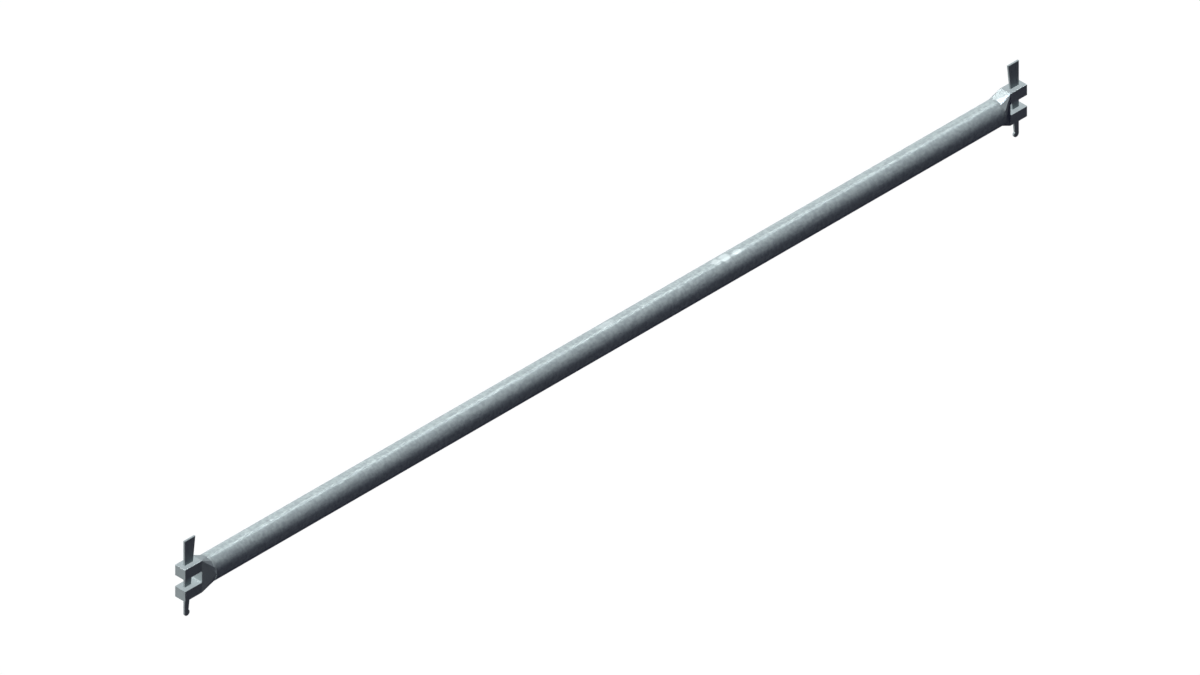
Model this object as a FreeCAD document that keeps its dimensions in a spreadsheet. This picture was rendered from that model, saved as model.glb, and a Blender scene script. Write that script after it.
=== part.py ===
import FreeCAD, Part
import math
import os
import Sketcher

# Scaffold ledger: a steel tube with a cast wedge head welded on each end.
# Millimetres. X runs along the tube, Z is up, and the origin is on the tube's axis at mid-length.
# A head, its weld and its wedge are drawn in the head's own frame, where the flat end face lies
# on the YZ plane and +X points inward along the tube.

driving_sizes = [
    ("overall_length", 1940.0, "end face to end face"),
    ("tube_diameter", 48.3, "outside of the tube"),
    ("tube_wall", 3.2, "wall of the tube"),
    ("head_width", 24.0, "head across the jaws' sides"),
    ("head_height", 64.0, "head over both jaws"),
    ("head_corner", 1.2, "rounding that the facets of the head's long corners follow"),
    ("face_break", 0.6, "broken edge round the end face"),
    ("block_length", 38.5, "parallel front block of the head"),
    ("flare_length", 21.5, "change from the block to the round collar"),
    ("collar_length", 3.0, "round collar behind the flare"),
    ("spigot_length", 12.0, "locating spigot inside the tube"),
    ("spigot_play", 0.15, "radial play of the spigot"),
    ("spigot_lead", 1.0, "lead-in chamfer of the spigot"),
    ("core_front", 48.0, "front end of the cored hollow, from the end face"),
    ("core_front_radius", 9.0, "cored hollow at its front end"),
    ("core_back_radius", 15.0, "cored hollow at the spigot's end"),
    ("mouth_height", 22.5, "gap between the jaws"),
    ("mouth_depth", 38.5, "from the end face to the back of the mouth"),
    ("mouth_corner", 2.0, "rounding of the mouth's back corners"),
    ("weld_bevel", 2.0, "bevel of the tube and the collar at the weld"),
    ("weld_crown", 0.6, "height of the bead over the tube"),
    ("wedge_thickness", 4.0, "flat plate of the wedge"),
    ("wedge_set_back", 9.0, "straight edge of the wedge, from the end face"),
    ("wedge_top", 79.5, "top of the wedge over the axis"),
    ("wedge_top_width", 24.6, "wedge at its top"),
    ("wedge_neck_width", 9.1, "wedge where it meets its nose"),
    ("wedge_edge", 0.5, "broken edges of the wedge"),
    ("nose_radius", 5.75, "round nose of the wedge"),
    ("nose_drop", 65.0, "centre of the nose under the axis"),
    ("slot_side_play", 0.5, "slot beside each face of the wedge"),
    ("slot_end_play", 0.35, "slot before the wedge's straight edge"),
    ("upper_slot_length", 20.05, "slot through the upper jaw"),
    ("lower_slot_length", 15.25, "slot through the lower jaw"),
]

# Expressions that several sketches share.
half_length = "Sizes.overall_length / 2"
tube_radius = "Sizes.tube_diameter / 2"
bore_radius = "(Sizes.tube_diameter / 2 - Sizes.tube_wall)"
spigot_radius = f"({bore_radius} - Sizes.spigot_play)"
flare_end = "(Sizes.block_length + Sizes.flare_length)"
weld_station = f"({flare_end} + Sizes.collar_length)"
spigot_end = f"({weld_station} + Sizes.spigot_length)"
half_mouth = "Sizes.mouth_height / 2"
half_slot = "(Sizes.wedge_thickness / 2 + Sizes.slot_side_play)"
slot_front = "(Sizes.wedge_set_back - Sizes.slot_end_play)"

facets_per_corner = 3
overcut = 1.0  # how far a cutting outline runs past the face it starts from
tolerance = 1e-6

origin_point = (-1, 1)
start_point = 1
end_point = 2
centre_point = 3

doc = FreeCAD.newDocument("scaffold_ledger")
sheet = doc.addObject("Spreadsheet::Sheet", "Sizes")
for row, (alias, amount, meaning) in enumerate(driving_sizes, start=1):
    sheet.set(f"A{row}", meaning)
    sheet.set(f"B{row}", str(amount))
    sheet.setAlias(f"B{row}", alias)
doc.recompute()


def amount_of(expression):
    return float(sheet.evalExpression(expression.replace("Sizes.", "")))


def origin_feature(body, role):
    return next(item for item in body.Origin.OriginFeatures if item.Role == role)


def new_body(label, side=None):
    body = doc.addObject("PartDesign::Body", label)
    body.Label = label
    if side == "left":
        body.setExpression("Placement.Base.x", f"-{half_length}")
    if side == "right":
        body.Placement = FreeCAD.Placement(FreeCAD.Vector(), FreeCAD.Rotation(FreeCAD.Vector(0, 0, 1), 180))
        body.setExpression("Placement.Base.x", half_length)
    return body


def new_sketch(body, name, plane, station=None):
    sketch = body.newObject("Sketcher::SketchObject", name)
    sketch.AttachmentSupport = [(origin_feature(body, plane), "")]
    sketch.MapMode = "FlatFace"
    if station:
        sketch.setExpression("AttachmentOffset.Base.z", station)
    return sketch


def line(sketch, first, second):
    return sketch.addGeometry(Part.LineSegment(FreeCAD.Vector(*first, 0), FreeCAD.Vector(*second, 0)))


def arc(sketch, centre, radius, first_angle, last_angle):
    circle = Part.Circle(FreeCAD.Vector(*centre, 0), FreeCAD.Vector(0, 0, 1), radius)
    return sketch.addGeometry(Part.ArcOfCircle(circle, first_angle, last_angle))


def relate(sketch, kind, *items):
    sketch.addConstraint(Sketcher.Constraint(kind, *items))


def dimension(sketch, name, kind, items, expression):
    index = sketch.addConstraint(Sketcher.Constraint(kind, *items, amount_of(expression)))
    sketch.renameConstraint(index, name)
    sketch.setExpression(f"Constraints.{name}", expression)


def place_point(sketch, name, item, point, across, up):
    dimension(sketch, f"{name}_across", "DistanceX", (*origin_point, item, point), across)
    dimension(sketch, f"{name}_up", "DistanceY", (*origin_point, item, point), up)


def straight_outline(sketch, corners, name="corner"):
    points = [(amount_of(across), amount_of(up)) for across, up in corners]
    edges = [line(sketch, point, points[(n + 1) % len(points)]) for n, point in enumerate(points)]
    for n, edge in enumerate(edges):
        relate(sketch, "Coincident", edge, end_point, edges[(n + 1) % len(edges)], start_point)
        place_point(sketch, f"{name}_{n}", edge, start_point, *corners[n])


def edges_where(feature, wanted):
    return [f"Edge{n}" for n, edge in enumerate(feature.Shape.Edges, start=1) if wanted(edge)]


def pad(body, name, sketch, length, side_type="One side"):
    feature = body.newObject("PartDesign::Pad", name)
    feature.Profile = sketch
    feature.SideType = side_type
    feature.setExpression("Length", length)
    return feature


def cut_through(body, name, sketch, side_type="One side", upward=False):
    feature = body.newObject("PartDesign::Pocket", name)
    feature.Profile = sketch
    feature.SideType = side_type
    feature.Type = "ThroughAll"
    feature.Reversed = upward
    return feature


def turn(body, kind, name, sketch):
    feature = body.newObject(f"PartDesign::{kind}", name)
    feature.Profile = sketch
    feature.ReferenceAxis = (origin_feature(body, "X_Axis"), [""])
    feature.Angle = 360
    return feature


def make_tube():
    body = new_body("ledger_tube")
    sketch = new_sketch(body, "tube_section", "YZ_Plane")
    for name, radius in (("outside", tube_radius), ("bore", bore_radius)):
        ring = sketch.addGeometry(Part.Circle(FreeCAD.Vector(), FreeCAD.Vector(0, 0, 1), amount_of(radius)))
        relate(sketch, "Coincident", ring, centre_point, *origin_point)
        dimension(sketch, f"{name}_radius", "Radius", (ring,), radius)
    tube = pad(body, "tube", sketch, f"Sizes.overall_length - 2 * {weld_station}", "Symmetric")
    doc.recompute()
    outside = amount_of(tube_radius)
    bevel = body.newObject("PartDesign::Chamfer", "weld_bevels")
    bevel.Base = (tube, edges_where(tube, lambda edge: is_ring(edge, outside)))
    bevel.setExpression("Size", "Sizes.weld_bevel")
    return body


def is_ring(edge, radius):
    return isinstance(edge.Curve, Part.Circle) and abs(edge.Curve.Radius - radius) < tolerance


# Distance from the axis to the facet at an angle from the top, on a section with faceted corners.
def facet_reach(angle, half_width, half_height, corner):
    is_flat_side = angle % 90 == 0
    fan = "1" if is_flat_side else f"cos({45 / facets_per_corner})"
    across = f"({half_width} - {corner}) * abs(sin({angle}))"
    up = f"({half_height} - {corner}) * abs(cos({angle}))"
    return f"{across} + {up} + {corner} * {fan}"


# Trims the blank to two opposite facets, which run level along the block and then slope to the collar.
def trim_facets(body, name, angle):
    block_reach = facet_reach(angle, "Sizes.head_width / 2", "Sizes.head_height / 2", "Sizes.head_corner")
    collar_reach = facet_reach(angle, tube_radius, tube_radius, tube_radius)
    sketch = new_sketch(body, f"{name}_section", "XZ_Plane")
    sketch.AttachmentOffset.Rotation = FreeCAD.Rotation(FreeCAD.Vector(1, 0, 0), angle)
    for edge, sign in (("upper", ""), ("lower", "-")):
        straight_outline(sketch, [
            (f"-{overcut}", f"{sign}({block_reach})"),
            ("Sizes.block_length", f"{sign}({block_reach})"),
            (flare_end, f"{sign}({collar_reach})"),
            (flare_end, f"{sign}Sizes.head_height"),
            (f"-{overcut}", f"{sign}Sizes.head_height"),
        ], edge)
    return cut_through(body, name, sketch, "Symmetric")


def make_head(side):
    body = new_body(f"{side}_head", side)

    # The blank, trimmed to four flat sides that narrow to the collar's quarter points, and to a fan of
    # facets at each corner.
    blank = new_sketch(body, f"{side}_blank_section", "YZ_Plane")
    straight_outline(blank, [
        (f"-{tube_radius}", "-Sizes.head_height / 2"),
        (tube_radius, "-Sizes.head_height / 2"),
        (tube_radius, "Sizes.head_height / 2"),
        (f"-{tube_radius}", "Sizes.head_height / 2"),
    ])
    pad(body, f"{side}_blank", blank, flare_end)
    facet_step = 90 / facets_per_corner
    fan_angles = [facet_step * (n + 0.5) for n in range(2 * facets_per_corner)]
    for n, angle in enumerate([0, 90] + fan_angles):
        outside = trim_facets(body, f"{side}_facets_{n}", angle)
    doc.recompute()
    face_break = body.newObject("PartDesign::Chamfer", f"{side}_face_break")
    face_break.Base = (outside, edges_where(outside, lambda edge: edge.BoundBox.XMax < tolerance))
    face_break.setExpression("Size", "Sizes.face_break")

    rear = new_sketch(body, f"{side}_rear_section", "XZ_Plane")
    straight_outline(rear, [
        (flare_end, "0"),
        (spigot_end, "0"),
        (spigot_end, f"{spigot_radius} - Sizes.spigot_lead"),
        (f"{spigot_end} - Sizes.spigot_lead", spigot_radius),
        (weld_station, spigot_radius),
        (weld_station, f"{tube_radius} - Sizes.weld_bevel"),
        (f"{weld_station} - Sizes.weld_bevel", tube_radius),
        (flare_end, tube_radius),
    ])
    turn(body, "Revolution", f"{side}_collar_and_spigot", rear)

    core = new_sketch(body, f"{side}_core_section", "XZ_Plane")
    straight_outline(core, [
        ("Sizes.core_front", "0"),
        (f"{spigot_end} + {overcut}", "0"),
        (f"{spigot_end} + {overcut}", "Sizes.core_back_radius"),
        ("Sizes.core_front", "Sizes.core_front_radius"),
    ])
    turn(body, "Groove", f"{side}_core", core)

    cut_mouth(body, side)
    cut_slot(body, f"{side}_upper_slot", "Sizes.upper_slot_length", True)
    cut_slot(body, f"{side}_lower_slot", "Sizes.lower_slot_length", False)
    return body


def cut_mouth(body, side):
    sketch = new_sketch(body, f"{side}_mouth_section", "XZ_Plane")
    depth = amount_of("Sizes.mouth_depth")
    half = amount_of(half_mouth)
    radius = amount_of("Sizes.mouth_corner")
    floor = line(sketch, (-overcut, -half), (depth - radius, -half))
    low_round = arc(sketch, (depth - radius, radius - half), radius, -math.pi / 2, 0)
    back = line(sketch, (depth, radius - half), (depth, half - radius))
    high_round = arc(sketch, (depth - radius, half - radius), radius, 0, math.pi / 2)
    roof = line(sketch, (depth - radius, half), (-overcut, half))
    entry = line(sketch, (-overcut, half), (-overcut, -half))
    ring = [floor, low_round, back, high_round, roof]
    for first, second in zip(ring, ring[1:]):
        relate(sketch, "Tangent", first, end_point, second, start_point)
    relate(sketch, "Coincident", roof, end_point, entry, start_point)
    relate(sketch, "Coincident", entry, end_point, floor, start_point)
    relate(sketch, "Horizontal", floor)
    relate(sketch, "Vertical", back)
    relate(sketch, "Horizontal", roof)
    relate(sketch, "Equal", low_round, high_round)
    dimension(sketch, "corner", "Radius", (low_round,), "Sizes.mouth_corner")
    place_point(sketch, "floor", floor, start_point, f"-{overcut}", f"-{half_mouth}")
    place_point(sketch, "roof", roof, end_point, f"-{overcut}", half_mouth)
    dimension(sketch, "depth", "DistanceX", (*origin_point, back, start_point), "Sizes.mouth_depth")
    return cut_through(body, f"{side}_mouth", sketch, "Symmetric")


def cut_slot(body, name, length, upward):
    sketch = new_sketch(body, f"{name}_section", "XY_Plane")
    slot_back = f"{slot_front} + {length}"
    straight_outline(sketch, [
        (slot_front, f"-{half_slot}"),
        (slot_back, f"-{half_slot}"),
        (slot_back, half_slot),
        (slot_front, half_slot),
    ])
    return cut_through(body, name, sketch, upward=upward)


# The bead fills the V between the two bevels and crowns over the tube.
def make_weld(side):
    body = new_body(f"{side}_weld", side)
    sketch = new_sketch(body, f"{side}_weld_section", "XZ_Plane")
    station = amount_of(weld_station)
    radius = amount_of(tube_radius)
    bevel = amount_of("Sizes.weld_bevel")
    crown_radius = "(Sizes.weld_bevel ^ 2 + Sizes.weld_crown ^ 2) / (2 * Sizes.weld_crown)"
    reach = amount_of(crown_radius)
    spread = math.asin(bevel / reach)
    crown_centre = (station, radius + amount_of("Sizes.weld_crown") - reach)
    head_side = line(sketch, (station - bevel, radius), (station, radius - bevel))
    tube_side = line(sketch, (station, radius - bevel), (station + bevel, radius))
    crown = arc(sketch, crown_centre, reach, math.pi / 2 - spread, math.pi / 2 + spread)
    relate(sketch, "Coincident", head_side, end_point, tube_side, start_point)
    relate(sketch, "Coincident", tube_side, end_point, crown, start_point)
    relate(sketch, "Coincident", crown, end_point, head_side, start_point)
    place_point(sketch, "head_toe", head_side, start_point, f"{weld_station} - Sizes.weld_bevel", tube_radius)
    place_point(sketch, "root", tube_side, start_point, weld_station, f"{tube_radius} - Sizes.weld_bevel")
    place_point(sketch, "tube_toe", tube_side, end_point, f"{weld_station} + Sizes.weld_bevel", tube_radius)
    dimension(sketch, "crown", "Radius", (crown,), crown_radius)
    turn(body, "Revolution", f"{side}_bead", sketch)
    return body


# A flat plate: one straight edge, one sloping edge and a round nose that hooks inward.
def make_wedge(side):
    body = new_body(f"{side}_wedge", side)
    sketch = new_sketch(body, f"{side}_wedge_outline", "XZ_Plane")
    set_back = amount_of("Sizes.wedge_set_back")
    top = amount_of("Sizes.wedge_top")
    top_width = amount_of("Sizes.wedge_top_width")
    neck = amount_of("Sizes.wedge_neck_width")
    radius = amount_of("Sizes.nose_radius")
    drop = amount_of("Sizes.nose_drop")
    neck_angle = math.acos((neck - radius) / radius)
    neck_height = radius * math.sin(neck_angle) - drop
    straight = line(sketch, (set_back, top), (set_back, -drop))
    nose = arc(sketch, (set_back + radius, -drop), radius, -math.pi, neck_angle)
    slope = line(sketch, (set_back + neck, neck_height), (set_back + top_width, top))
    head = line(sketch, (set_back + top_width, top), (set_back, top))
    relate(sketch, "Tangent", straight, end_point, nose, start_point)
    relate(sketch, "Coincident", nose, end_point, slope, start_point)
    relate(sketch, "Coincident", slope, end_point, head, start_point)
    relate(sketch, "Coincident", head, end_point, straight, start_point)
    relate(sketch, "Vertical", straight)
    relate(sketch, "Horizontal", head)
    place_point(sketch, "top", straight, start_point, "Sizes.wedge_set_back", "Sizes.wedge_top")
    dimension(sketch, "top_width", "DistanceX", (head, end_point, head, start_point), "Sizes.wedge_top_width")
    dimension(sketch, "nose", "Radius", (nose,), "Sizes.nose_radius")
    dimension(sketch, "nose_drop", "DistanceY", (nose, centre_point, *origin_point), "Sizes.nose_drop")
    neck_items = (straight, end_point, slope, start_point)
    dimension(sketch, "neck", "DistanceX", neck_items, "Sizes.wedge_neck_width")
    plate = pad(body, f"{side}_plate", sketch, "Sizes.wedge_thickness", "Symmetric")
    doc.recompute()
    faces = amount_of("Sizes.wedge_thickness") / 2
    edge_break = body.newObject("PartDesign::Chamfer", f"{side}_edge_break")
    edge_break.Base = (plate, edges_where(plate, lambda edge: lies_across(edge, faces)))
    edge_break.setExpression("Size", "Sizes.wedge_edge")
    return body


def lies_across(edge, half_thickness):
    box = edge.BoundBox
    return box.YLength < tolerance and abs(abs(box.YMin) - half_thickness) < tolerance


nodes = [make_tube()]
for end in ("left", "right"):
    nodes += [make_head(end), make_weld(end), make_wedge(end)]
doc.recompute()

for item in doc.Objects:
    if "Invalid" in item.State or "Error" in item.State:
        raise RuntimeError(f"{item.Label} failed: {item.State}")
for node in nodes:
    if node.Shape.isNull() or not node.Shape.isValid() or len(node.Shape.Solids) != 1:
        raise RuntimeError(f"{node.Label} is not one valid solid")

os.makedirs("parts", exist_ok=True)
for node in nodes:
    node.Shape.exportStep(f"parts/{node.Label}.step")
    box = node.Shape.BoundBox
    extent = f"{box.XLength:.2f} x {box.YLength:.2f} x {box.ZLength:.2f}"
    print(f"{node.Label}: {node.Shape.Volume:.0f} mm3, {extent}")
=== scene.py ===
import bpy
import bmesh
import math
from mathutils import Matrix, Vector


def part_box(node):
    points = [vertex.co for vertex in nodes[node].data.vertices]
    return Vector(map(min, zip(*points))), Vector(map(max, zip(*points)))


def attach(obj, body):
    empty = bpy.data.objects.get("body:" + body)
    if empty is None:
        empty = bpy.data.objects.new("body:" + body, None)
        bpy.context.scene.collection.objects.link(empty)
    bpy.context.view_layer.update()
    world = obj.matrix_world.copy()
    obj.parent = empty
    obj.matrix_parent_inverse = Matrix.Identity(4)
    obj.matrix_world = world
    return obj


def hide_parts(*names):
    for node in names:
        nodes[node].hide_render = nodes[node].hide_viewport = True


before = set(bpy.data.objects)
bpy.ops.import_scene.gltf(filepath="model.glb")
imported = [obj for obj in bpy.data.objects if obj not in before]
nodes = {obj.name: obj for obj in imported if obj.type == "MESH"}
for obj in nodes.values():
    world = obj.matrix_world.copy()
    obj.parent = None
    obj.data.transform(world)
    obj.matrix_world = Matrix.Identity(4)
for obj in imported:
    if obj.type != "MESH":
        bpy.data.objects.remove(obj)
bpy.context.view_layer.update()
print("frame loaded:", ", ".join(sorted(nodes)))

scene = bpy.context.scene
scene.view_settings.view_transform = "Standard"


# parallel camera at the front left, at the angle of an isometric drawing

pictureCamera = {
    "turn": -45.0,        # degrees round the ledger
    "rise": 35.264,       # degrees above the horizon
    "width": 1.955,       # metres across the picture
    "right": -0.0018,     # where the picture's middle lies beside the ledger's own middle
    "up": 0.0048,
    "distance": 6.0,
}


def makeCamera(settings):
    turn = math.radians(settings["turn"])
    rise = math.radians(settings["rise"])
    back = Vector((math.sin(turn) * math.cos(rise), -math.cos(turn) * math.cos(rise), math.sin(rise)))
    right = Vector((math.cos(turn), math.sin(turn), 0.0))
    up = back.cross(right)
    data = bpy.data.cameras.new("pictureCamera")
    data.type = "ORTHO"
    data.ortho_scale = settings["width"]
    camera = bpy.data.objects.new("pictureCamera", data)
    camera.rotation_mode = "QUATERNION"
    camera.rotation_quaternion = (-back).to_track_quat("-Z", "Y")
    camera.location = right * settings["right"] + up * settings["up"] + back * settings["distance"]
    scene.collection.objects.link(camera)
    scene.camera = camera


makeCamera(pictureCamera)
print("camera ready")


# short ways to lay out and join shader nodes

nodeGap = {"across": 220, "down": 180}     # between the nodes in the editor
fullRange = (0.0, 1.0)


# an input takes a link from another node's output, or a plain value
def feed(tree, socket, value):
    if isinstance(value, bpy.types.NodeSocket):
        tree.links.new(value, socket)
    else:
        socket.default_value = value


def addNode(tree, kind, column, row, feeds=None, **settings):
    node = tree.nodes.new(kind)
    node.location = (column * nodeGap["across"], -row * nodeGap["down"])
    for key, value in settings.items():
        setattr(node, key, value)
    for label, value in (feeds or {}).items():
        feed(tree, node.inputs[label], value)
    return node


def addNoise(tree, position, scale, detail, column, row, roughness=0.5):
    feeds = {"Vector": position, "Scale": scale, "Detail": detail, "Roughness": roughness}
    return addNode(tree, "ShaderNodeTexNoise", column, row, feeds)


def addMath(tree, operation, values, column, row, **settings):
    feeds = dict(enumerate(values))
    return addNode(tree, "ShaderNodeMath", column, row, feeds, operation=operation, **settings).outputs[0]


def addVectorMath(tree, operation, values, column, row):
    feeds = dict(enumerate(values))
    return addNode(tree, "ShaderNodeVectorMath", column, row, feeds, operation=operation)


def mapRange(tree, value, given, wanted, column, row, **settings):
    feeds = {
        "Value": value,
        "From Min": given[0],
        "From Max": given[1],
        "To Min": wanted[0],
        "To Max": wanted[1],
    }
    return addNode(tree, "ShaderNodeMapRange", column, row, feeds, **settings).outputs["Result"]


def mixed(tree, kind, share, first, second, column, row):
    feeds = {"Factor": share, "A": first, "B": second}
    return addNode(tree, "ShaderNodeMix", column, row, feeds, data_type=kind).outputs["Result"]


# broad light from the high left, cool light from above, and lamps behind that glint in the zinc

studioLamps = {
    "highLeft": {"towards": (-0.613, 0.389, 0.687), "strength": 2.68, "spread": 30.0, "shadow": False,
                 "colour": (1.0, 1.0, 0.98)},
    "overhead": {"towards": (-0.194, 0.164, 0.967), "strength": 0.61, "spread": 5.0, "shadow": False,
                 "colour": (0.95, 0.98, 1.12)},    # also glints on the facet in front of the flare's top
    "highBack": {"towards": (0.069, 0.577, 0.814), "strength": 0.23, "spread": 5.0, "shadow": False,
                 "colour": (1.0, 1.0, 0.98)},      # glint on the right flare's top
    "back": {"towards": (0.040, 0.865, 0.498), "strength": 0.21, "spread": 5.0, "shadow": True,
             "colour": (1.0, 1.0, 0.98)},          # glint on the facet behind it
    "highRight": {"towards": (0.577, 0.425, 0.697), "strength": 0.30, "spread": 7.0, "shadow": False,
                  "colour": (1.0, 1.0, 0.98)},     # bright line along the tube's top
    "right": {"towards": (0.577, 0.240, 0.780), "strength": 0.36, "spread": 7.0, "shadow": False,
              "colour": (0.98, 1.0, 1.02)},        # widens that line to the front
}
studioFill = {
    "colour": (0.010, 0.009, 0.026, 1.0),    # faint cool light from all round
    "backdrop": (1.0, 1.0, 1.0, 1.0),        # what the camera and the gloss see
}


def makeLamp(name, settings):
    lamp = bpy.data.lights.new(name, "SUN")
    lamp.energy = settings["strength"]
    lamp.color = settings["colour"]
    lamp.angle = math.radians(settings["spread"])
    lamp.use_shadow = settings["shadow"]
    holder = bpy.data.objects.new(name, lamp)
    holder.rotation_mode = "QUATERNION"
    holder.rotation_quaternion = Vector(settings["towards"]).to_track_quat("Z", "Y")
    scene.collection.objects.link(holder)


# 1 where the camera, a reflection or a clear material looks straight at the backdrop
def seenDirectly(tree):
    path = addNode(tree, "ShaderNodeLightPath", -4, 0).outputs
    mirror = addMath(tree, "MAXIMUM", (path["Is Camera Ray"], path["Is Glossy Ray"]), -3, 0)
    return addMath(tree, "MAXIMUM", (mirror, path["Is Transmission Ray"]), -2, 0)


# the first shader lights the ledger, and the second is what is seen
def chooseSeen(tree, unseen, seen):
    feeds = {0: seenDirectly(tree), 1: unseen.outputs[0], 2: seen.outputs[0]}
    return addNode(tree, "ShaderNodeMixShader", 0, 0, feeds).outputs[0]


def makeWorld(settings):
    world = bpy.data.worlds.new("studio")
    world.use_nodes = True
    tree = world.node_tree
    tree.nodes.clear()
    fill = addNode(tree, "ShaderNodeBackground", -1, 1, {"Color": settings["colour"]})
    backdrop = addNode(tree, "ShaderNodeBackground", -1, 2, {"Color": settings["backdrop"]})
    addNode(tree, "ShaderNodeOutputWorld", 1, 0, {"Surface": chooseSeen(tree, fill, backdrop)})
    scene.world = world


for lampName, lampSettings in studioLamps.items():
    makeLamp(lampName, lampSettings)
makeWorld(studioFill)
print("lamps ready:", len(studioLamps))


# white paper well under the ledger, which is held up by its heads

paperFloor = {
    "height": -1.3,
    "reach": 60.0,
    "cells": 8,
    "bounce": (0.010, 0.009, 0.026, 1.0),  # what it throws back at the ledger
    "paper": (0.30, 0.30, 0.30, 1.0),      # the part of its white that a shadow takes away
    "glow": 0.70,
}


def makeFloor(settings):
    mesh = bpy.data.meshes.new("paperFloor")
    cells = settings["cells"]
    build = bmesh.new()
    bmesh.ops.create_grid(build, x_segments=cells, y_segments=cells, size=settings["reach"])
    build.to_mesh(mesh)
    build.free()
    floor = bpy.data.objects.new("paperFloor", mesh)
    floor.location.z = settings["height"]
    scene.collection.objects.link(floor)

    paper = bpy.data.materials.new("whitePaper")
    paper.use_nodes = True
    tree = paper.node_tree
    tree.nodes.clear()
    bounce = addNode(tree, "ShaderNodeBsdfDiffuse", -1, 1, {"Color": settings["bounce"]})
    lit = addNode(tree, "ShaderNodeBsdfDiffuse", -2, 2, {"Color": settings["paper"]})
    glow = addNode(tree, "ShaderNodeEmission", -2, 3, {"Strength": settings["glow"]})
    white = addNode(tree, "ShaderNodeAddShader", -1, 2, {0: lit.outputs[0], 1: glow.outputs[0]})
    addNode(tree, "ShaderNodeOutputMaterial", 1, 0, {"Surface": chooseSeen(tree, bounce, white)})
    mesh.materials.append(paper)


makeFloor(paperFloor)
print("floor ready")


# gives the new group, what goes into it and what it puts out
def newGroup(name, inputs, outputs):
    group = bpy.data.node_groups.new(name, "ShaderNodeTree")
    for label, kind in inputs.items():
        group.interface.new_socket(name=label, in_out="INPUT", socket_type=kind)
    for label, kind in outputs.items():
        group.interface.new_socket(name=label, in_out="OUTPUT", socket_type=kind)
    given = addNode(group, "NodeGroupInput", -6, 0).outputs
    result = addNode(group, "NodeGroupOutput", 4, 0).inputs
    return group, given, result


# galvanised skin: cloudy patches over a faint spangle of zinc crystals

skinShape = {
    "patchDetail": 5.0,
    "patchRoughness": 0.6,
    "patchRange": (0.3, 0.7),       # noise of the dullest and of the brightest patch
    "warpScale": 90.0,
    "warpDetail": 2.0,
    "warpReach": (0.006,) * 3,      # metres that a crystal's outline wanders
}


def makeZincSkin(shape):
    group, given, result = newGroup(
        "zincSkin",
        {
            "Position": "NodeSocketVector",
            "Patch Scale": "NodeSocketFloat",
            "Spangle Scale": "NodeSocketFloat",
            "Spangle Share": "NodeSocketFloat",
            "Dull": "NodeSocketColor",
            "Bright": "NodeSocketColor",
        },
        {"Colour": "NodeSocketColor", "Spangle": "NodeSocketFloat"},
    )
    position = given["Position"]
    cloud = addNoise(group, position, given["Patch Scale"], shape["patchDetail"], -4, 0,
                     shape["patchRoughness"])
    patch = mapRange(group, cloud.outputs["Fac"], shape["patchRange"], fullRange, -3, 0)
    warp = addNoise(group, position, shape["warpScale"], shape["warpDetail"], -5, 2).outputs["Color"]
    bent = addVectorMath(group, "MULTIPLY_ADD", (warp, shape["warpReach"], position), -4, 2).outputs[0]
    crystalFeeds = {"Vector": bent, "Scale": given["Spangle Scale"]}
    crystal = addNode(group, "ShaderNodeTexVoronoi", -3, 2, crystalFeeds)
    spangle = addNode(group, "ShaderNodeSeparateColor", -2, 2, {0: crystal.outputs["Color"]}).outputs[0]
    lightness = mixed(group, "FLOAT", given["Spangle Share"], patch, spangle, -1, 1)
    feed(group, result["Colour"], mixed(group, "RGBA", lightness, given["Dull"], given["Bright"], 1, 0))
    feed(group, result["Spangle"], spangle)
    return group


# relief of the coating: a fine grain, drawn out by its stretch, on a long swell

grainShape = {"grainDetail": 2.0, "swellDetail": 2.0}


def makeCoatGrain(shape):
    group, given, result = newGroup(
        "coatGrain",
        {
            "Position": "NodeSocketVector",
            "Stretch": "NodeSocketVector",
            "Grain Scale": "NodeSocketFloat",
            "Swell Scale": "NodeSocketFloat",
            "Swell Share": "NodeSocketFloat",
        },
        {"Height": "NodeSocketFloat", "Grain": "NodeSocketFloat"},
    )
    position = given["Position"]
    drawnOut = addVectorMath(group, "MULTIPLY", (position, given["Stretch"]), -4, 0).outputs[0]
    grain = addNoise(group, drawnOut, given["Grain Scale"], shape["grainDetail"], -3, 0).outputs["Fac"]
    swell = addNoise(group, position, given["Swell Scale"], shape["swellDetail"], -3, 2).outputs["Fac"]
    feed(group, result["Height"], mixed(group, "FLOAT", given["Swell Share"], grain, swell, -1, 0))
    feed(group, result["Grain"], grain)
    return group


# places rubbed bright by stacking and handling

rubShape = {
    "detail": 6.0,
    "roughness": 0.7,
    "onset": (0.75, 0.45),     # noise where rubbing starts, at an amount of 0 and of 1
    "sharpness": 7.0,
}


def makeRubMarks(shape):
    group, given, result = newGroup(
        "rubMarks",
        {
            "Position": "NodeSocketVector",
            "Stretch": "NodeSocketVector",
            "Scale": "NodeSocketFloat",
            "Amount": "NodeSocketFloat",
        },
        {"Mask": "NodeSocketFloat"},
    )
    drawnOut = addVectorMath(group, "MULTIPLY", (given["Position"], given["Stretch"]), -4, 0).outputs[0]
    noise = addNoise(group, drawnOut, given["Scale"], shape["detail"], -3, 0, shape["roughness"])
    onset = mapRange(group, given["Amount"], fullRange, shape["onset"], -2, 1)
    above = addMath(group, "SUBTRACT", (noise.outputs["Fac"], onset), -1, 0)
    mask = addMath(group, "MULTIPLY", (above, shape["sharpness"]), 0, 0, use_clamp=True)
    feed(group, result["Mask"], mask)
    return group


# one ragged scuff at a given place, painted lighter as a painted glint

scuffGlintShape = {
    "raggedScale": 120.0,
    "detail": 4.0,
    "fade": (0.4, -0.1),     # from clean skin to bare zinc and its painted glint, in shares of the scuff's reach
}


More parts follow.
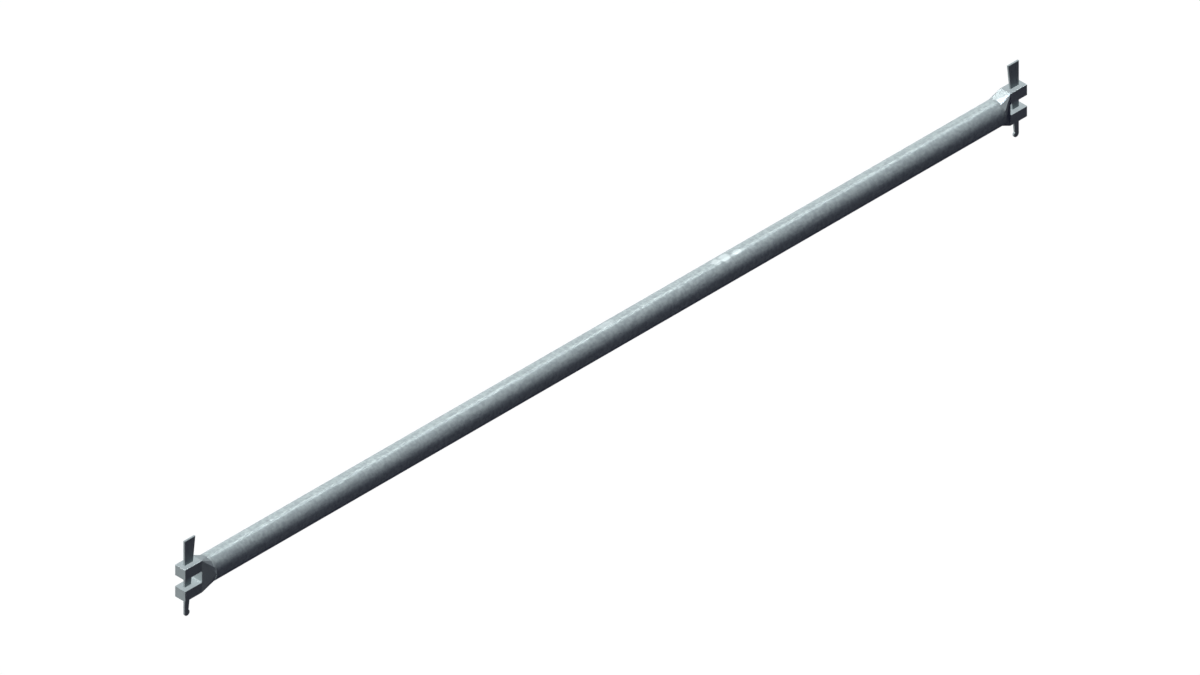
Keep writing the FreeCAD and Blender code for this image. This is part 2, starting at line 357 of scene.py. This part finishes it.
def makeScuffGlintMark(shape):
    group, given, result = newGroup(
        "scuffGlintMark",
        {
            "Position": "NodeSocketVector",
            "Middle": "NodeSocketVector",
            "Reach": "NodeSocketVector",
            "Strength": "NodeSocketFloat",
        },
        {"Mask": "NodeSocketFloat"},
    )
    away = addVectorMath(group, "SUBTRACT", (given["Position"], given["Middle"]), -5, 0).outputs[0]
    share = addVectorMath(group, "DIVIDE", (away, given["Reach"]), -4, 0).outputs[0]
    distance = addVectorMath(group, "LENGTH", (share,), -3, 0).outputs["Value"]
    noise = addNoise(group, given["Position"], shape["raggedScale"], shape["detail"], -3, 2)
    edge = addMath(group, "SUBTRACT", (distance, noise.outputs["Fac"]), -2, 0)
    bare = mapRange(group, edge, shape["fade"], fullRange, -1, 0, interpolation_type="SMOOTHSTEP")
    feed(group, result["Mask"], addMath(group, "MULTIPLY", (bare, given["Strength"]), 0, 0))
    return group


zincSkin = makeZincSkin(skinShape)
coatGrain = makeCoatGrain(grainShape)
rubMarks = makeRubMarks(rubShape)
scuffGlintMark = makeScuffGlintMark(scuffGlintShape)
print("zinc effects ready")


# what all the zinc finishes have in common

zincGloss = {
    "specular": 0.0,                      # its gloss comes from the metal share alone
    "edgeTint": (0.25, 0.25, 0.25, 1.0),  # keeps glancing edges dark
    "hollowShadeRange": (0.62, 0.38),              # grain where the painted shade starts, and where it is full
    "bump": 1.0,
}


def placeGroup(tree, group, position, column, row, values):
    feeds = {"Position": position, **values}
    return addNode(tree, "ShaderNodeGroup", column, row, feeds, node_tree=group).outputs


def makeZinc(name, settings):
    material = bpy.data.materials.new(name)
    material.use_nodes = True
    tree = material.node_tree
    shader = tree.nodes["Principled BSDF"].inputs
    shader["Specular IOR Level"].default_value = zincGloss["specular"]
    shader["Specular Tint"].default_value = zincGloss["edgeTint"]
    position = addNode(tree, "ShaderNodeTexCoord", -6, 0).outputs["Object"]
    skin = placeGroup(tree, zincSkin, position, -4, 0, settings["skin"])
    grain = placeGroup(tree, coatGrain, position, -4, 2, settings["grain"])
    rubbed = placeGroup(tree, rubMarks, position, -4, 4, settings["rubs"])["Mask"]

    # painted shade: the skin is darker in the hollows of its grain, where its relief would be shaded; it
    # is lighter where it is rubbed, and at the scuffs, whose lighter colour is also a painted glint
    # painted shade of the grain's relief, darker where the grain is low
    hollowShade = mapRange(tree, grain["Grain"], zincGloss["hollowShadeRange"], (0.0, settings["hollowShadeShare"]), -3, 1)
    colour = mixed(tree, "RGBA", hollowShade, skin["Colour"], settings["hollowShadeColour"], -2, 1)
    colour = mixed(tree, "RGBA", rubbed, colour, settings["rubColour"], -1, 0)
    # scuffs of bare zinc, painted lighter as painted glints
    for count, scuffGlint in enumerate(settings["scuffGlints"]):
        mark = placeGroup(tree, scuffGlintMark, position, -4, 6 + count, scuffGlint)["Mask"]
        colour = mixed(tree, "RGBA", mark, colour, settings["scuffGlintColour"], count, 6)
    feed(tree, shader["Base Color"], colour)

    # each crystal has its own gloss, and rubbed zinc is smoother and shows more metal
    rough = mapRange(tree, skin["Spangle"], fullRange, settings["roughness"], -3, 2)
    smoothed = addMath(tree, "MULTIPLY_ADD", (rubbed, -settings["rubSmooth"], rough), -2, 2)
    feed(tree, shader["Roughness"], smoothed)
    feed(tree, shader["Metallic"], mapRange(tree, rubbed, fullRange, settings["metal"], -2, 3))

    bumpFeeds = {"Strength": zincGloss["bump"], "Distance": settings["relief"], "Height": grain["Height"]}
    feed(tree, shader["Normal"], addNode(tree, "ShaderNodeBump", -2, 5, bumpFeeds).outputs["Normal"])
    return material


def finishNode(node, material):
    for holder in node.material_slots:
        holder.material = material


# drawn steel tube, dipped in zinc and scuffed along its top, where the scuffs are painted lighter as
# painted glints

tubeZinc = {
    "skin": {"Patch Scale": 9.0, "Spangle Scale": 90.0, "Spangle Share": 0.3,
             "Dull": (0.452, 0.528, 0.527, 1.0), "Bright": (0.545, 0.634, 0.632, 1.0)},
    "grain": {"Stretch": (1.0, 0.8, 0.8), "Grain Scale": 170.0, "Swell Scale": 14.0, "Swell Share": 0.5},
    "rubs": {"Stretch": (0.4, 1.0, 1.0), "Scale": 55.0, "Amount": 0.42},
    # painted glints: scuffs on the tube's top, painted lighter to stand in for glints
    "scuffGlints": [{"Middle": (0.264, 0.001, 0.024), "Reach": (0.012, 0.012, 0.02), "Strength": 1.0},
               {"Middle": (0.284, 0.000, 0.024), "Reach": (0.014, 0.014, 0.02), "Strength": 1.0},
               {"Middle": (0.309, -0.003, 0.024), "Reach": (0.016, 0.008, 0.02), "Strength": 0.9},
               {"Middle": (0.012, 0.004, 0.024), "Reach": (0.024, 0.013, 0.02), "Strength": 0.5}],
    "scuffGlintColour": (0.69, 0.78, 0.78, 1.0),
    "rubColour": (0.55, 0.62, 0.625, 1.0),
    "hollowShadeColour": (0.34, 0.395, 0.415, 1.0),
    "hollowShadeShare": 0.65,             # most that the painted shade in the hollows covers
    "roughness": (0.19, 0.24),   # of the glossiest and of the dullest crystal
    "rubSmooth": 0.12,           # roughness that rubbing takes away
    "metal": (0.06, 0.068),      # share of bare metal, unrubbed and rubbed
    "relief": 0.0012,            # metres
}

finishNode(nodes["ledger_tube"], makeZinc("tubeZinc", tubeZinc))
print("tube finished")


# steel castings under the same zinc, a little darker and almost without relief

headZinc = {
    "skin": {"Patch Scale": 45.0, "Spangle Scale": 150.0, "Spangle Share": 0.35,
             "Dull": (0.376, 0.432, 0.441, 1.0), "Bright": (0.424, 0.484, 0.493, 1.0)},
    "grain": {"Stretch": (1.0, 1.0, 1.0), "Grain Scale": 620.0, "Swell Scale": 60.0, "Swell Share": 0.4},
    "rubs": {"Stretch": (1.0, 1.0, 1.0), "Scale": 90.0, "Amount": 0.2},
    "scuffGlints": [],
    "rubColour": (0.54, 0.61, 0.62, 1.0),
    "hollowShadeColour": (0.35, 0.40, 0.41, 1.0),
    "hollowShadeShare": 0.2,
    "roughness": (0.196, 0.2),
    "rubSmooth": 0.005,
    "metal": (0.064, 0.068),
    "relief": 0.000005,
}

headMaterial = makeZinc("headZinc", headZinc)
for headNode in ("left_head", "right_head"):
    finishNode(nodes[headNode], headMaterial)
print("heads finished")


# cut plate, rubbed up and down by the slots

wedgeZinc = {
    "skin": {"Patch Scale": 45.0, "Spangle Scale": 160.0, "Spangle Share": 0.35,
             "Dull": (0.36, 0.413, 0.422, 1.0), "Bright": (0.44, 0.503, 0.512, 1.0)},
    "grain": {"Stretch": (1.0, 1.0, 0.15), "Grain Scale": 600.0, "Swell Scale": 50.0, "Swell Share": 0.3},
    "rubs": {"Stretch": (1.0, 1.0, 0.2), "Scale": 150.0, "Amount": 0.35},
    "scuffGlints": [],
    "rubColour": (0.56, 0.62, 0.63, 1.0),
    "hollowShadeColour": (0.34, 0.39, 0.40, 1.0),
    "hollowShadeShare": 0.25,
    "roughness": (0.20, 0.26),
    "rubSmooth": 0.06,
    "metal": (0.062, 0.075),
    "relief": 0.00003,
}

wedgeMaterial = makeZinc("wedgeZinc", wedgeZinc)
for wedgeNode in ("left_wedge", "right_wedge"):
    finishNode(nodes[wedgeNode], wedgeMaterial)
print("wedges finished")


# a rippled bead, nearly flush, round each joint of tube and head

weldZinc = {
    "skin": {"Patch Scale": 60.0, "Spangle Scale": 200.0, "Spangle Share": 0.4,
             "Dull": (0.36, 0.415, 0.42, 1.0), "Bright": (0.46, 0.53, 0.53, 1.0)},
    "grain": {"Stretch": (1.0, 1.0, 1.0), "Grain Scale": 800.0, "Swell Scale": 120.0, "Swell Share": 0.4},
    "rubs": {"Stretch": (1.0, 1.0, 1.0), "Scale": 120.0, "Amount": 0.2},
    "scuffGlints": [],
    "rubColour": (0.54, 0.61, 0.62, 1.0),
    "hollowShadeColour": (0.34, 0.39, 0.40, 1.0),
    "hollowShadeShare": 0.25,
    "roughness": (0.22, 0.30),
    "rubSmooth": 0.06,
    "metal": (0.06, 0.07),
    "relief": 0.00005,
}
weldBead = {
    "ripples": 68,           # round the tube
    "stepsPerRipple": 6,
    "profileSteps": 10,
    "height": 0.2,           # share of the crown that the bead fills
    "root": 0.9,             # how deep it reaches, in shares of its half width
    "rippleShare": 0.7,      # of the bead's height
    "sink": 0.00001,         # metres that its edges lie under the tube's skin
    "rippleLag": 0.45,       # how far the middle of a ripple runs ahead of its ends
    "wander": 0.05,          # of the bead's half width
    "wanderWaves": (3, 5),   # round the tube
    "wanderStart": 0.7,      # radians
    "sharpFrom": 45.0,       # degrees between two faces
}


# how far the hand that laid the bead strayed to one side, as a share of its half width
def beadWander(angle, settings):
    slow, quick = settings["wanderWaves"]
    return settings["wander"] * math.sin(slow * angle + settings["wanderStart"]) * math.sin(quick * angle)


def makeWeldBead(name, node, settings):
    low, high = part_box(node)
    middle = (low.x + high.x) / 2
    halfWidth = (high.x - low.x) / 2
    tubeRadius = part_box("ledger_tube")[1].z
    crown = (high.z - tubeRadius) * settings["height"]
    root = tubeRadius - halfWidth * settings["root"]
    sink = settings["sink"]
    around = settings["ripples"] * settings["stepsPerRipple"]
    build = bmesh.new()
    rings = []
    for step in range(around):
        angle = 2 * math.pi * step / around
        drift = halfWidth * beadWander(angle, settings)
        ring = []
        for n in range(settings["profileSteps"] + 1):
            across = 2 * n / settings["profileSteps"] - 1
            arch = 1 - across * across
            phase = (step / settings["stepsPerRipple"] + settings["rippleLag"] * arch) % 1.0
            ripple = settings["rippleShare"] * (math.sqrt(phase) - 1.0)
            radius = tubeRadius - sink + (crown + sink) * arch * (1 + ripple)
            x = middle + halfWidth * across + drift * arch
            ring.append(build.verts.new((x, radius * math.cos(angle), radius * math.sin(angle))))
        ring.append(build.verts.new((middle, root * math.cos(angle), root * math.sin(angle))))
        rings.append(ring)
    for step in range(around):
        here, following = rings[step], rings[(step + 1) % around]
        for n in range(len(here)):
            after = (n + 1) % len(here)
            build.faces.new((here[n], here[after], following[after], following[n]))
    bmesh.ops.recalc_face_normals(build, faces=build.faces)
    for edge in build.edges:
        edge.smooth = edge.calc_face_angle() < math.radians(settings["sharpFrom"])
    mesh = bpy.data.meshes.new(name)
    build.to_mesh(mesh)
    build.free()
    mesh.shade_smooth()
    bead = bpy.data.objects.new(name, mesh)
    scene.collection.objects.link(bead)
    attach(bead, "ledger")
    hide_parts(node)
    return bead


weldMaterial = makeZinc("weldZinc", weldZinc)
for weldNode in ("left_weld", "right_weld"):
    weldPiece = makeWeldBead(weldNode.replace("_weld", "WeldBead"), weldNode, weldBead)
    weldPiece.data.materials.append(weldMaterial)
print("welds finished")
